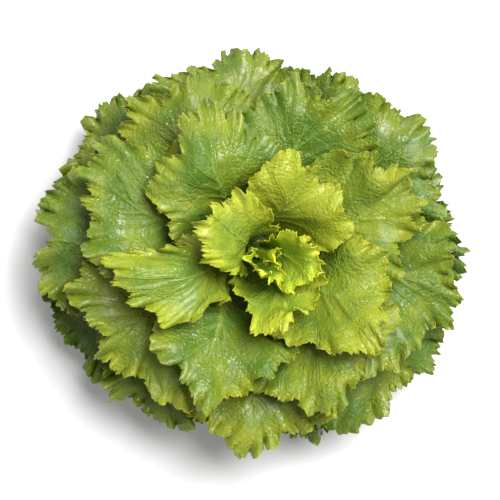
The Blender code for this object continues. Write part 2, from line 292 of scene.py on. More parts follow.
# How strongly veins show in the colour, and how deep they lie in the fine relief
LINE_SHARES = {"Mesh": 0.16, "Net": 0.36, "Side": 0.42, "Rib": 0.80}
LINE_DEPTHS = {"Net": 0.30, "Mesh": 0.12, "Side": 0.45}

# Half the width of the midrib's colour by the share of the length, and of the golden rim by
# its noise, both as a factor and a start, and the least of each
RIB_SPAN = (-0.0052, 0.0060)
LEAST_RIB = 0.0008
RIM_SPAN = (0.0040, -0.0012)
LEAST_RIM = 0.0001

# Ramps, each as its start and end, and its values there: side veins towards the margin, the
# midrib and the rim across their widths, and the rim's gaps
VEIN_FADE = (0.35, 0.95, 1.0, 0.25)
RIB_RAMP = (0.4, 1.5, 1.0, 0.0)
RIM_RAMP = (0.25, 1.3, 1.0, 0.0)
GAP_RAMP = (0.40, 0.62, 0.05, 1.0)

# Sizes of lumps in metres: uneven rim and its gaps, yellow patches and mottle, zones of fine
# blisters and their grain, wet and sheen
RIM_LUMP = 0.0040
GAP_LUMP = 0.0110
PATCH_LUMP = 0.0260
MOTTLE_LUMP = 0.0045
ZONE_LUMP = 0.0220
GRAIN_LUMP = 0.0016
WET_LUMP = 0.0120
SHEEN_LUMP = 0.0340

# What patches and mottle add to the yellow, scaled and moved, how far from the margin the edge
# tone fades and to what, how pale the base is and up to where, and how pale the underside is
PATCH_SPAN = (1.9, -0.92)
MOTTLE_SPAN = (0.6, -0.30)
EDGE_FADE = (0.001, 0.020, 1.0, -0.15)
BASE_FADE = (0.0, 0.45, 0.35, 0.0)
UNDERSIDE_PALE = 0.22

# The finest relief: how round its domes and the larger blisters are, how domes are scaled and
# moved, where they are, and how high the grain is
CELL_SMOOTHNESS = 0.35
DOME_SMOOTHNESS = 0.3
DOME_SPAN = (-1.0, 0.7)
ZONE_RAMP = (0.35, 0.62, 0.15, 1.0)
GRAIN_HEIGHT = 0.22

# The blade's gloss by its noises, and how light spreads within blade and stem
WET_RAMP = (0.42, 0.62)
SHEEN_RAMP = (0.50, 0.64, 0.0, 0.42)
SPECULAR = 0.36
COAT_ROUGHNESS = 0.36
GLOW_RADIUS = (0.9, 1.0, 0.15)
BLADE_GLOW_DEPTH = 0.0015
STEM_GLOW_DEPTH = 0.0030

# The stem's finish: heights where the browned cut face ends, where its flesh turns pale and
# where it turns green, the ring of bundles by radius, width and depth, where the brown of the
# cut's edge lies and how strong brown is, and its lumps, flecks, streaks, gloss and relief
CUT_HEIGHTS = (0.0006, 0.0022)
PALE_HEIGHTS = (0.004, 0.045)
GREEN_HEIGHTS = (0.042, 0.056)
BUNDLE_RADIUS = 0.0125
BUNDLE_WIDTH = 0.0022
BUNDLE_DEPTH = 0.5
BROWN_RIM = (0.0135, 0.0172)
BROWNED = 0.5
FLESH_LUMP = 0.0040
FLECK_LUMP = 0.0013
FLECK_RAMP = (0.48, 0.60)
STREAK_RAMP = (0.45, 0.75, 0.0, 0.35)
STEM_ROUGHNESS = (0.25, 0.35)
STEM_BUMP = 0.6

# How yellow each leaf is, from the innermost to the outermost
TONES = (
    (0.38, 0.38, 0.45, 0.62, 0.45, 1.00, 0.40),
    (0.56, 0.22, 0.20, 0.44, 0.20, 0.46, 0.06),
    (0.54, 0.16, 0.38, 0.46, 0.04, 0.15, 0.26),
    (0.28, 0.38, 0.06, 0.20, 0.18, 0.06, 0.06),
)

# By order from the heart: how far a leaf's colours are scaled, which is painted light where the
# heart's leaves are made far lighter to cancel the shade that falls deep in the heart, how
# yellow towards its margin, and how strong its golden rim is
LOOK_ORDERS = (0, 2, 3, 4, 5, 6, 7, 8, 10, 13, 16, 21, 27)
PAINTED_LIGHTS = (2.30, 2.10, 1.32, 1.48, 1.14, 1.22, 1.10, 1.05, 1.00, 0.96, 0.93, 0.90, 0.85)
EDGES = (0.60, 0.60, 0.55, 0.60, 0.35, 0.32, 0.30, 0.28, 0.26, 0.24, 0.22, 0.20, 0.16)
RIMS = (0.70, 0.90, 0.80, 0.70, 0.50, 0.60, 0.55, 0.45, 0.70, 0.60, 0.40, 0.25, 0.15)

# The camera stands straight above the head: its sensor's width in millimetres, and how far
# from the stem's middle it stands
SENSOR = 36.0
CAMERA_OFF_Y = 0.0014

# The floor's half side, grey and roughness, and the lamp's side, place and turn in degrees
FLOOR_HALF = 3.0
FLOOR_GREY = 0.93
FLOOR_ROUGHNESS = 0.9
LAMP_SIDE = 0.8
LAMP_PLACE = (0.42, 0.42, 1.45)
LAMP_TURN = (-22.3, 0.0, -45.0)


def at_order(values, order):
    """A value of the leaf with this order from the heart, or of a layer between two leaves."""
    return np.interp(order, ORDERS, values)


def smooth(value):
    """A ramp from 0 to 1 with level ends."""
    held = np.clip(value, 0, 1)
    return held * held * (3 - 2 * held)


def unit(vectors):
    """The vectors at length one."""
    return vectors / np.maximum(np.linalg.norm(vectors, axis=-1, keepdims=True), 1e-12)


def direction(angle):
    """The unit vector at an angle in degrees above level, in radius and height."""
    return np.stack([np.cos(np.radians(angle)), np.sin(np.radians(angle))], -1)


def profile(order, share):
    """Radius and height of a layer's surface at a share of its length, by a cubic curve."""
    base = np.stack([at_order(BASE_RADIUS, order), at_order(BASE_HEIGHT, order)], -1)
    tip = np.stack([at_order(TIP_RADIUS, order), at_order(TIP_HEIGHT, order)], -1)
    chord = np.linalg.norm(tip - base, axis=-1)[..., None]
    near = base + RISE_REACH * chord * direction(at_order(RISE_ANGLE, order))
    far = tip - TIP_REACH * chord * direction(at_order(TIP_ANGLE, order))
    s = np.asarray(share)[..., None]
    return (
        (1 - s) ** 3 * base
        + 3 * s * (1 - s) ** 2 * near
        + 3 * s**2 * (1 - s) * far
        + s**3 * tip
    )


def profile_normal(order, share):
    """The normal of a layer, in radius and height, pointing inwards and up."""
    along = unit(profile(order, share + NORMAL_STEP) - profile(order, share - NORMAL_STEP))
    return np.stack([-along[..., 1], along[..., 0]], -1)


def path_lengths(points):
    """The way along a path to each of its points."""
    return np.concatenate([[0], np.cumsum(np.linalg.norm(np.diff(points, axis=0), axis=1))])


def even_curve(before, points, after, count):
    """Count + 1 even points on a smooth curve through points, steered by one beyond each end."""
    points = np.array([before] + list(points) + [after])
    t = np.linspace(0, 1, OUTLINE_SAMPLES, endpoint=False)[:, None]
    runs = []
    for a, b, c, d in zip(points, points[1:], points[2:], points[3:]):
        bend_two = 2 * a - 5 * b + 4 * c - d
        bend_three = 3 * b - a - 3 * c + d
        runs.append(0.5 * (2 * b + (c - a) * t + bend_two * t**2 + bend_three * t**3))
    path = np.vstack(runs + [points[-2][None]])
    along = path_lengths(path)
    even = np.linspace(0, along[-1], count + 1)
    return np.stack([np.interp(even, along, path[:, k]) for k in (0, 1)], -1)


def outline_points(count):
    """Half the outline as count + 1 points evenly spaced along it, on a smooth curve."""
    before = (OUTLINE[0][0], -OUTLINE[1][1])
    after = (-OUTLINE[-2][0], OUTLINE[-2][1])
    return even_curve(before, OUTLINE, after, count)


def width_at(share):
    """Half the outline's width, as a share, at a share of the leaf's length."""
    points = np.array(OUTLINE)
    return np.interp(share, points[:, 1], points[:, 0])


class Leaf:
    """One leaf: its place in the spiral, its size and its own waves."""

    def __init__(self, order):
        self.order = order
        self.number = LEAF_COUNT - order
        nudge, self.reach, breadth, self.lean = TAKES.get(order, AS_THE_RULE)
        self.azimuth = math.radians(HEART_AZIMUTH + GOLDEN_ANGLE * order + nudge)
        self.half_width = float(at_order(HALF_WIDTH, order)) * breadth
        self.lobe_share = float(at_order(LOBE_SHARE, order))
        self.rib_thickness = float(at_order(RIB_THICKNESS, order))
        share = np.linspace(0, self.reach, LENGTH_SAMPLES)
        self.length = float(path_lengths(profile(np.full(share.shape, order), share))[-1])
        self.tone = float(np.ravel(TONES)[order])
        self.frill = float(at_order(FRILLS, order))
        self.curl = float(at_order(CURLS, order))
        self.rim = float(np.interp(order, LOOK_ORDERS, RIMS))
        # Painted light: a scale on the leaf's colours, far above one for the heart's leaves, to
        # cancel their shade
        self.light = float(np.interp(order, LOOK_ORDERS, PAINTED_LIGHTS))
        self.edge = float(np.interp(order, LOOK_ORDERS, EDGES))
        draw = np.random.RandomState(HEAD_SEED + order)
        self.wave_phases = draw.uniform(0, 2 * math.pi, 4)
        self.lobe_phases = draw.uniform(0, 2 * math.pi, 4)


LEAVES = [Leaf(order) for order in range(LEAF_COUNT)]


def layer_order(leaf, turn):
    """The layer that a leaf lies in at an angle from its midrib."""
    return np.clip(leaf.order + SHEAR * turn, 0, LAST)


def layer_spacing(order, share):
    """The distance between two layers that are one leaf apart."""
    low = np.clip(order - 0.5, 0, LAST)
    high = np.clip(order + 0.5, 0, LAST)
    here = profile(low, share)
    nearest = np.full(share.shape, 1.0)
    spacing = np.zeros(share.shape)
    for slide in SLIDES:
        between = profile(high, share + slide) - here
        away = np.linalg.norm(between, axis=-1)
        across = np.abs((between * profile_normal(high, share + slide)).sum(-1))
        spacing = np.where(away < nearest, across, spacing)
        nearest = np.minimum(away, nearest)
    return spacing / (high - low)


def turn_limit(turn):
    """An angle round the stem, kept under the widest that a leaf may wrap."""
    return turn / (1 + (np.abs(turn) / WIDEST_TURN) ** 4) ** 0.25


def room(leaf, turn, share, spacing, side):
    """Half the gap to the next leaf on one side: side is 1 outwards and -1 inwards."""
    layers = np.full(turn.shape, FREE_LAYERS)
    radius = np.maximum(profile(np.full(turn.shape, leaf.order), share)[..., 0], LEAST_RADIUS)
    for other in LEAVES:
        apart = (other.order - leaf.order) * side
        if apart <= 0 or apart > NEIGHBOURS:
            continue
        swing = (other.azimuth - leaf.azimuth + math.pi) % (2 * math.pi) - math.pi
        off = (turn - swing + math.pi) % (2 * math.pi) - math.pi
        own_share = share / other.reach
        width = np.maximum(width_at(own_share), width_at(own_share - TIP_MARGIN))
        beyond = (np.abs(off) - turn_limit(other.half_width * width / radius)) * radius
        cover = smooth((SIDE_MARGIN[1] - beyond) / (SIDE_MARGIN[1] - SIDE_MARGIN[0]))
        gap = np.maximum(apart + side * SHEAR * (off - turn), LEAST_LAYERS)
        layers = np.minimum(layers, gap / np.maximum(cover, OPEN_COVER))
    return layers * spacing / 2


def wave_angle(length, along, t, phase):
    """How far round its wave the margin is, with a wander that slants towards the midrib."""
    turns = 2 * math.pi * along / length
    wander = WANDER[0] * np.sin(turns / WANDER[1] + WANDER[2] * phase)
    slant = SLANT[0] * (1 - t) * np.sin(turns / SLANT[1] + SLANT[2] * phase)
    return turns + phase + wander + slant


def ripple(waves, along, t, phases, swell=0.0, quarter=0.0):
    """A sum of waves along the margin, which swell and sink, and fade towards the midrib."""
    total = np.zeros((t.shape[0], along.shape[0]))
    for (height, length, power), phase in zip(waves, phases):
        size = height * (1 + swell * np.sin(along / length * SWELL_TURN + SWELL_PHASE * phase))
        total += size * t**power * np.sin(wave_angle(length, along, t, phase) + quarter)
    return total


def soft_limit(value, low, high):
    """Value held between -low and high, bending smoothly as it nears either."""
    bound = np.maximum(np.where(value > 0, high, low), LEAST_ROOM)
    return bound * np.tanh(value / bound)


def bend(points):
    """The points moved by the slow bend of the whole head."""
    away = np.hypot(points[..., 0], points[..., 1])
    grow = smooth((away - BEND_START) / (BEND_FULL - BEND_START))
    moved = points.copy()
    for size, turns, phase in BEND:
        swing = np.sin(2 * math.pi * (points @ np.array(turns)) + phase) * grow
        moved += swing[..., None] * np.array(size)
    rise = smooth((points[..., 2] - LEAN_START) / (LEAN_FULL - LEAN_START))
    return moved + rise[..., None] * np.array(LEAN)


def sheet_rows(leaf):
    """The rows of a leaf's sheet from 0 at the midrib to 1 at the margin, and their strides."""
    extents = [min(widest, share * leaf.half_width) for widest, share, _, _ in ZONES[1:]]
    starts = [0.0, 1 - sum(extents) / leaf.half_width, 1 - extents[-1] / leaf.half_width, 1.0]
    rows = [0.0]
    strides = [ZONES[0][3]]
    for (_, _, spacing, stride), start, end in zip(ZONES, starts, starts[1:]):
        count = math.ceil((end - start) * leaf.half_width / spacing)
        rows += list(np.linspace(start, end, count + 1)[1:])
        strides += [stride] * count
    return np.array(rows), strides


def swell_line(along, lengths, phase):
    """A slow change of size along the margin, from about 0 to 1."""
    first, second = lengths
    return 0.5 + 0.25 * (np.sin(along / first + phase) + np.sin(along / second + 2 * phase))


def tooth_line(along, phase):
    """Pointed teeth of uneven size along the margin."""
    crowd = TEETH_CROWD[0] * np.sin(along / TEETH_SWELL[0] * TEETH_CROWD[1] + phase)
    turns = math.pi * along / TEETH[1] + crowd
    size = TEETH[0] * (TEETH_SIZES[0] + TEETH_SIZES[1] * swell_line(along, TEETH_SWELL, phase))
    return size * (1 - 2 * np.abs(np.sin(turns)) ** TEETH_POWER)


def flap_line(size, length, along, phase):
    """Rounded flaps along the margin, with narrow notches of uneven depth between them."""
    turns = wave_angle(length, along, np.ones((1, 1)), phase)[0] / 2
    notch = np.exp(-((np.sin(turns) / NOTCH_WIDTH) ** 2))
    swell = FLAP_SIZES[0] + FLAP_SIZES[1] * swell_line(along, FLAP_SWELL, phase)
    return size * swell * (FLAP_RISE - notch)


def flat_leaf(leaf, columns, t):
    """The flattened leaf by row and column: width and length in metres, and the spokes."""
    half = outline_points(columns // 2)
    margin = np.vstack([half * (-1, 1), half[-2::-1]])
    margin[columns // 2, 0] = 0
    margin = margin * np.array([leaf.half_width, leaf.length])
    forward = 1 - np.abs(np.linspace(-1, 1, columns + 1))
    middle = np.stack([np.zeros(columns + 1), MIDRIB_SHARE * leaf.length * forward], -1)
    along = path_lengths(margin)
    spoke = np.maximum(np.linalg.norm(margin - middle, axis=-1), LEAST_SPOKE)
    fade = np.clip(margin[:, 1] / leaf.length / LOBE_START, 0, 1)
    cut = ripple(LOBES, along, t, leaf.lobe_phases) * leaf.lobe_share
    for (size, length, power), phase in zip(FLAPS, leaf.lobe_phases[1:]):
        cut += t**power * flap_line(size, length, along, phase) * leaf.frill
    cut += t ** TEETH[2] * tooth_line(along, leaf.lobe_phases[3])
    flat = middle + (margin - middle) * (t * (1 + cut * fade / spoke))[..., None]
    slide = ripple(RUFFLES, along, t, leaf.wave_phases[2:], SWELL, math.pi / 2) * fade
    slide *= -SLIDE_SHARE * leaf.curl
    forwards = unit(np.gradient(margin, axis=0))
    return flat + slide[..., None] * forwards, along, spoke


def blade_thickness(t, share, rib_thickness):
    """Thin blade, with a midrib that thickens towards the base."""
    rib = np.clip(1 - t / RIB_SHARE, 0, 1) * (1 - RIB_TAPER * np.clip(share, 0, 1))
    foot = np.clip(1 - share / FOOT_SHARE, 0, 1) * (1 - t) * FOOT_THICKNESS
    blade = BLADE_THICKNESS + (RIM_THICKNESS - BLADE_THICKNESS) * t**RIM_POWER
    return blade + (rib_thickness - BLADE_THICKNESS) * np.maximum(rib, foot)


def leaf_sheet(leaf, columns, t):
    """The leaf's middle surface and what the blade's tree and materials read, by name."""
    flat, along, spoke = flat_leaf(leaf, columns, t)
    share = np.clip(flat[..., 1] / leaf.length, 0, None) * leaf.reach
    radius = profile(np.full(share.shape, leaf.order), share)[..., 0]
    turn = turn_limit(flat[..., 0] / np.maximum(radius, LEAST_RADIUS))
    order = layer_order(leaf, turn)

    thickness = blade_thickness(t, share, leaf.rib_thickness)
    spacing = layer_spacing(order, share) * BEND_LEAVES
    inner = room(leaf, turn, share, spacing, -1) - CLEARANCE - BLADE_THICKNESS / 2
    outer = room(leaf, turn, share, spacing, 1) - CLEARANCE - thickness
    fine = FINE_SHARE + FINE_MARGIN_SHARE * t**RIM_POWER
    rise = np.clip(share / WAVE_START, 0, 1) ** WAVE_RISE
    coarse = (ripple(WAVES, along, t, leaf.wave_phases) + leaf.lean * share**2) * rise
    ruffle = ripple(RUFFLES, along, t, leaf.wave_phases[2:], SWELL) * rise * leaf.curl
    lift = soft_limit(coarse, outer * (1 - fine), inner * (1 - fine))
    ruffle = soft_limit(ruffle, outer * fine, inner * fine)
    spare = np.minimum(outer, inner) * fine - np.abs(ruffle)
    lift += ruffle

    point = profile(order, share) + profile_normal(order, share) * lift[..., None]
    angle = leaf.azimuth + turn
    level = point[..., 0]
    middle = bend(np.stack([level * np.cos(angle), level * np.sin(angle), point[..., 1]], -1))
    middle[..., 2] = np.maximum(middle[..., 2], FLOOR_GAP + thickness)

    whole = np.ones(share.shape)
    above = (BLADE_THICKNESS + (RIM_THICKNESS - BLADE_THICKNESS) * t**RIM_POWER) / 2
    crowd = VEIN_CROWD[0] * np.sin(along / VEIN_CROWD[1] + leaf.wave_phases[0])
    veins = (along - along[columns // 2]) / VEIN_SPACING + crowd
    facts = {
        "spot": middle + np.array([0, 0, leaf.order]),
        "place": np.stack([veins * whole, t * whole, share / leaf.reach], -1),
        "reach": np.stack([(1 - t) * spoke, t * spoke, 0 * share], -1),
        "skins": np.stack([above * whole, thickness, np.maximum(spare, 0)], -1),
    }
    return middle, facts


def sheet_faces(rows, columns, strides):
    """Triangles between rows of points, with half as many columns where a stride doubles."""
    index = np.arange(rows * (columns + 1)).reshape(rows, columns + 1)
    index[0] = np.minimum(index[0], index[0][::-1])
    faces = []
    for r, (step, next_step) in enumerate(zip(strides, strides[1:])):
        c = np.arange(0, columns, step)
        a, b = index[r, c], index[r, c + step]
        e, d = index[r + 1, c], index[r + 1, c + step]
        if next_step == step:
            left = (c < columns // 2)[:, None]
            faces.append(np.where(left, np.stack([a, b, d], -1), np.stack([a, b, e], -1)))
            faces.append(np.where(left, np.stack([a, d, e], -1), np.stack([b, d, e], -1)))
        else:
            m = index[r + 1, c + next_step]
            faces += [np.stack(three, -1) for three in ((a, b, m), (a, m, e), (b, d, m))]
    return np.vstack(faces)


def plain_mesh(name, points, faces, facts):
    """A mesh of triangles with a vector attribute for each fact."""
    used, place = np.unique(faces, return_inverse=True)
    mesh = bpy.data.meshes.new(name)
    mesh.from_pydata(points.reshape(-1, 3)[used], [], place.reshape(-1, 3).tolist())
    for key, values in facts.items():
        attribute = mesh.attributes.new(key, "FLOAT_VECTOR", "POINT")
        attribute.data.foreach_set("vector", values.reshape(-1, 3)[used].ravel())
    return mesh


def stem_mesh():
    """The stem as a turned body, which swells where each leaf grows from it."""
    low = (STEM_SIDE[0][0], -STEM_SIDE[1][1])
    high = (-STEM_SIDE[-1][0], STEM_SIDE[-1][1])
    side = even_curve(low, STEM_SIDE, high, STEM_ROWS)
    turns = np.linspace(-math.pi, math.pi, STEM_COLUMNS, endpoint=False)
    radius = np.repeat(side[:, :1], STEM_COLUMNS, axis=1)
    for leaf in LEAVES:
        height = float(at_order(BASE_HEIGHT, leaf.order))
        out = float(at_order(BASE_RADIUS, leaf.order)) + FOOT_SWELL - side[:, :1]
        swing = (turns - leaf.azimuth + math.pi) % (2 * math.pi) - math.pi
        reach = OUTLINE[1][0] * leaf.half_width
        fall = (swing * radius / reach) ** 4 + ((side[:, 1:] - height) / FOOT_HEIGHT) ** 2
        radius = np.maximum(radius, side[:, :1] + out * np.exp(-fall))
    share = np.linspace(0, 1, BUTT_RINGS + 1)[1:-1, None]
    butt_radius = share * radius[0]
    butt_height = BUTT_HOLLOW * (1 - share**2) * np.ones(STEM_COLUMNS)
    radius = np.vstack([butt_radius, radius])
    height = np.vstack([butt_height, np.repeat(side[:, 1:], STEM_COLUMNS, axis=1)])
    rings = np.stack([radius * np.cos(turns), radius * np.sin(turns), height], -1)
    ends = [(0, 0, BUTT_HOLLOW), (0, 0, STEM_SIDE[-1][1])]
    points = np.vstack([rings.reshape(-1, 3), ends])
    index = np.arange(len(rings) * STEM_COLUMNS).reshape(len(rings), STEM_COLUMNS)
    after = np.roll(index, -1, axis=1)
    pieces = [
        np.stack([index[:-1], after[:-1], after[1:]], -1).reshape(-1, 3),
        np.stack([index[:-1], after[1:], index[1:]], -1).reshape(-1, 3),
        np.stack([after[0], index[0], np.full(STEM_COLUMNS, index.size)], -1),
        np.stack([index[-1], after[-1], np.full(STEM_COLUMNS, index.size + 1)], -1),
    ]
    return plain_mesh("cut_stem", points, np.vstack(pieces), {})


def feed(tree, sockets, values):
    """Links sockets, by name or place, to other sockets, or sets their values."""
    for key, value in values.items():
        if isinstance(value, bpy.types.NodeSocket):
            tree.links.new(value, sockets[key])
        else:
            sockets[key].default_value = value


def add(tree, kind, inputs=None, **settings):
    """A node with these settings and inputs."""
    node = tree.nodes.new(kind)
    for name, value in settings.items():
        setattr(node, name, value)
    feed(tree, node.inputs, inputs or {})
    return node


def calc(tree, operation, *values, clamp=False):
    """The result of a Math node."""
    inputs = dict(enumerate(values))
    return add(tree, "ShaderNodeMath", inputs, operation=operation, use_clamp=clamp).outputs[0]


def vector_calc(tree, operation, inputs):
    """The result of a Vector Math node."""
    return add(tree, "ShaderNodeVectorMath", inputs, operation=operation).outputs[0]


def ramp(tree, value, start, end, low=0.0, high=1.0):
    """A value taken smoothly from low to high as it passes from start to end."""
    inputs = {0: value, 1: start, 2: end, 3: low, 4: high}
    return add(tree, "ShaderNodeMapRange", inputs, interpolation_type="SMOOTHSTEP").outputs[0]


def mix_colours(tree, share, low, high):
    """One colour turning into another as the share goes from 0 to 1."""
    inputs = {0: share, 6: low, 7: high}
    return add(tree, "ShaderNodeMix", inputs, data_type="RGBA").outputs[2]


def noise(tree, vector, size, detail=2.0, roughness=0.5):
    """Noise from 0 to 1 whose lumps are about this size in metres."""
    inputs = {"Vector": vector, "Scale": 1 / size, "Detail": detail, "Roughness": roughness}
    return add(tree, "ShaderNodeTexNoise", inputs).outputs[0]


def split(tree, vector):
    """The three parts of a vector."""
    return add(tree, "ShaderNodeSeparateXYZ", {0: vector}).outputs


def open_group(name, kind, inputs, outputs):
    """A new node group with these named sockets, and its first and last node."""
    tree = bpy.data.node_groups.new(name, kind)
    for side, sockets in (("INPUT", inputs), ("OUTPUT", outputs)):
        for label, socket_type, value in sockets:
            socket = tree.interface.new_socket(label, in_out=side, socket_type=socket_type)
            if value is not None:
                socket.default_value = value
    return tree, tree.nodes.new("NodeGroupInput").outputs, tree.nodes.new("NodeGroupOutput").inputs


FLOAT = "NodeSocketFloat"
COLOUR = "NodeSocketColor"
GEOMETRY = "NodeSocketGeometry"


def vein_line(tree, spot, place, widths):
    """Where a side vein runs, by its place between the veins and the way to the margin."""
    veins, t, _ = split(tree, place)
    swayed = calc(tree, "MULTIPLY_ADD", noise(tree, spot, SWAY_LENGTH, 1.0), VEIN_SWAY, veins)
    off = calc(tree, "ABSOLUTE", calc(tree, "SUBTRACT", calc(tree, "FRACT", swayed), 0.5))
    metres = calc(tree, "MULTIPLY", off, VEIN_SPACING)
    width = calc(tree, "MULTIPLY_ADD", t, widths[1] - widths[0], widths[0])
    return ramp(tree, calc(tree, "DIVIDE", metres, width), VEIN_EDGE, 1.0, 1.0, 0.0)


def blade_tree():
    """A node tree that turns a leaf's sheet into its blade: blisters, veins and thickness."""
    labels = (
        "Pucker Height",
        "Pucker Size",
        "Blister Height",
        "Blister Size",
        "Vein Depth",
        "Vein Ridge",
        "Seed",
    )
    inputs = [("Sheet", GEOMETRY, None)] + [(label, FLOAT, None) for label in labels]
    inputs.append(("Material", "NodeSocketMaterial", None))
    outputs = [("Blade", GEOMETRY, None)]
    tree, given, made = open_group("leaf_blade", "GeometryNodeTree", inputs, outputs)

    def named(label):
        kind = "GeometryNodeInputNamedAttribute"
        return add(tree, kind, {"Name": label}, data_type="FLOAT_VECTOR").outputs["Attribute"]

    def grained(label, inputs):
        scale = calc(tree, "DIVIDE", 1.0, given[label])
        return {"Vector": spot, "W": given["Seed"], "Scale": scale, **inputs}

    def moved(geometry, amount, along, selection=True):
        offset = vector_calc(tree, "SCALE", {0: along, "Scale": amount})
        inputs = {"Geometry": geometry, "Selection": selection, "Offset": offset}
        return add(tree, "GeometryNodeSetPosition", inputs).outputs[0]

    def stored(geometry, label, value, kind):
        inputs = {"Geometry": geometry, "Name": label, "Value": value}
        node = "GeometryNodeStoreNamedAttribute"
        return add(tree, node, inputs, data_type=kind, domain="POINT").outputs[0]

    spot, place = named("spot"), named("place")
    above, thick, spare = split(tree, named("skins"))
    _, t, share = split(tree, place)
    line = vein_line(tree, spot, place, RIDGE_WIDTHS)
    fade = ramp(tree, share, *RELIEF_START)

    inputs = grained("Pucker Size", {"Detail": 1.0})
    puckers = add(tree, "ShaderNodeTexNoise", inputs, noise_dimensions="4D").outputs[0]
    inputs = grained("Blister Size", {"Smoothness": CELL_SMOOTHNESS})
    settings = {"voronoi_dimensions": "4D", "feature": "SMOOTH_F1"}
    cells = add(tree, "ShaderNodeTexVoronoi", inputs, **settings).outputs["Distance"]
    swing = calc(tree, "MULTIPLY_ADD", puckers, *PUCKER_SPAN)
    dome = calc(tree, "MULTIPLY_ADD", cells, *BLISTER_SPAN)
    swing = calc(tree, "MULTIPLY", swing, given["Pucker Height"])
    dome = calc(tree, "MULTIPLY", dome, given["Blister Height"])
    height = calc(tree, "ADD", swing, dome)
    height = calc(tree, "SUBTRACT", height, calc(tree, "MULTIPLY", line, given["Vein Depth"]))
    clear = calc(tree, "MULTIPLY", fade, ramp(tree, t, *RELIEF_CLEAR))
    height = calc(tree, "MULTIPLY", height, clear)
    height = calc(tree, "MINIMUM", height, spare)
    height = calc(tree, "MAXIMUM", height, calc(tree, "MULTIPLY", spare, -1.0))

    normal = tree.nodes.new("GeometryNodeInputNormal").outputs[0]
    held = stored(moved(given["Sheet"], height, normal), "skin", normal, "FLOAT_VECTOR")
    skin = named("skin")
    ridge = calc(tree, "MULTIPLY", calc(tree, "MULTIPLY", line, given["Vein Ridge"]), fade)
    ridge = calc(tree, "MULTIPLY", ridge, calc(tree, "SUBTRACT", 1.0, t))
    below = calc(tree, "ADD", calc(tree, "SUBTRACT", thick, above), ridge)
    lowered = moved(held, calc(tree, "MULTIPLY", below, -1.0), skin)
    inputs = {"Mesh": lowered, "Offset Scale": 0.0, "Individual": False}
    shell = add(tree, "GeometryNodeExtrudeMesh", inputs, mode="FACES").outputs
    raised = moved(shell["Mesh"], calc(tree, "ADD", below, above), skin, shell["Top"])
    marked = stored(raised, "upper", shell["Top"], "FLOAT")
    under = add(tree, "GeometryNodeFlipFaces", {"Mesh": lowered}).outputs[0]
    joined = tree.nodes.new("GeometryNodeJoinGeometry")
    tree.links.new(under, joined.inputs[0])
    tree.links.new(marked, joined.inputs[0])
    blade = joined.outputs[0]
    for kind, inputs in (
        ("GeometryNodeMergeByDistance", {"Distance": MERGE_DISTANCE}),
        ("GeometryNodeSetShadeSmooth", {}),
        ("GeometryNodeRealizeInstances", {}),
        ("GeometryNodeSetMaterial", {"Material": given["Material"]}),
    ):
        blade = add(tree, kind, {"Geometry": blade, **inputs}).outputs[0]
    tree.links.new(blade, made["Blade"])
    return tree


def set_inputs(modifier, values):
    """Gives a node tree's modifier its inputs, found by their names in its tree."""
    for item in modifier.node_group.interface.items_tree:
        if item.in_out == "INPUT" and item.name in values:
            modifier[item.identifier] = values[item.name]


def make_plain(piece):
    """Puts the piece's evaluated mesh in place of its own, and returns it."""
    depsgraph = bpy.context.evaluated_depsgraph_get()
    mesh = bpy.data.meshes.new_from_object(piece.evaluated_get(depsgraph), depsgraph=depsgraph)
    piece.modifiers.clear()
    piece.data = mesh
    return mesh


def link(name, data):
    """A new object of this mesh, lamp or camera in the scene."""
    piece = bpy.data.objects.new(name, data)
    bpy.context.scene.collection.objects.link(piece)
    return piece


def read(tree, label):
    """A vector attribute of the piece, in a material or a group of one."""
    return add(tree, "ShaderNodeAttribute", attribute_name=label).outputs["Vector"]


def vein_group():
    """Shader group: where veins run on a blade, and how near its margin and its midrib are."""
    inputs = [("Net Size", FLOAT, 0.0110), ("Mesh Size", FLOAT, 0.0042)]
    outputs = [(label, FLOAT, None) for label in ("Side", "Net", "Mesh", "Rib", "Rim")]
    tree, given, made = open_group("blade_veins", "ShaderNodeTree", inputs, outputs)
    spot, place, reach = (read(tree, label) for label in ("spot", "place", "reach"))
    _, t, share = split(tree, place)
    edge, across, _ = split(tree, reach)

    inputs = {"Vector": spot, "Scale": NET_BEND[0], "Detail": 1.0}
    sway = add(tree, "ShaderNodeTexNoise", inputs).outputs["Color"]
    shift = vector_calc(tree, "SUBTRACT", {0: sway, 1: (0.5, 0.5, 0.5)})
    shift = vector_calc(tree, "SCALE", {0: shift, "Scale": NET_BEND[1]})
    bent = vector_calc(tree, "ADD", {0: spot, 1: shift})

    def net(size, width):
        inputs = {"Vector": bent, "Scale": calc(tree, "DIVIDE", 1.0, size), "Randomness": 0.9}
        cells = add(tree, "ShaderNodeTexVoronoi", inputs, feature="DISTANCE_TO_EDGE")
        metres = calc(tree, "MULTIPLY", cells.outputs["Distance"], size)
        return ramp(tree, metres, 0.0, width, 1.0, 0.0)

    def near(way, width, least):
        return calc(tree, "DIVIDE", way, calc(tree, "MAXIMUM", width, least))

    line = vein_line(tree, spot, place, VEIN_WIDTHS)
    rib_width = calc(tree, "MULTIPLY_ADD", share, *RIB_SPAN)
    rim_width = calc(tree, "MULTIPLY_ADD", noise(tree, spot, RIM_LUMP, 1.0), *RIM_SPAN)
    rim = ramp(tree, near(edge, rim_width, LEAST_RIM), *RIM_RAMP)
    gaps = ramp(tree, noise(tree, spot, GAP_LUMP), *GAP_RAMP)
    masks = {
        "Side": calc(tree, "MULTIPLY", line, ramp(tree, t, *VEIN_FADE)),
        "Net": net(given["Net Size"], NET_WIDTH),
        "Mesh": net(given["Mesh Size"], MESH_WIDTH),
        "Rib": ramp(tree, near(across, rib_width, LEAST_RIB), *RIB_RAMP),
        "Rim": calc(tree, "MULTIPLY", rim, gaps),
    }
    feed(tree, made, masks)
    return tree


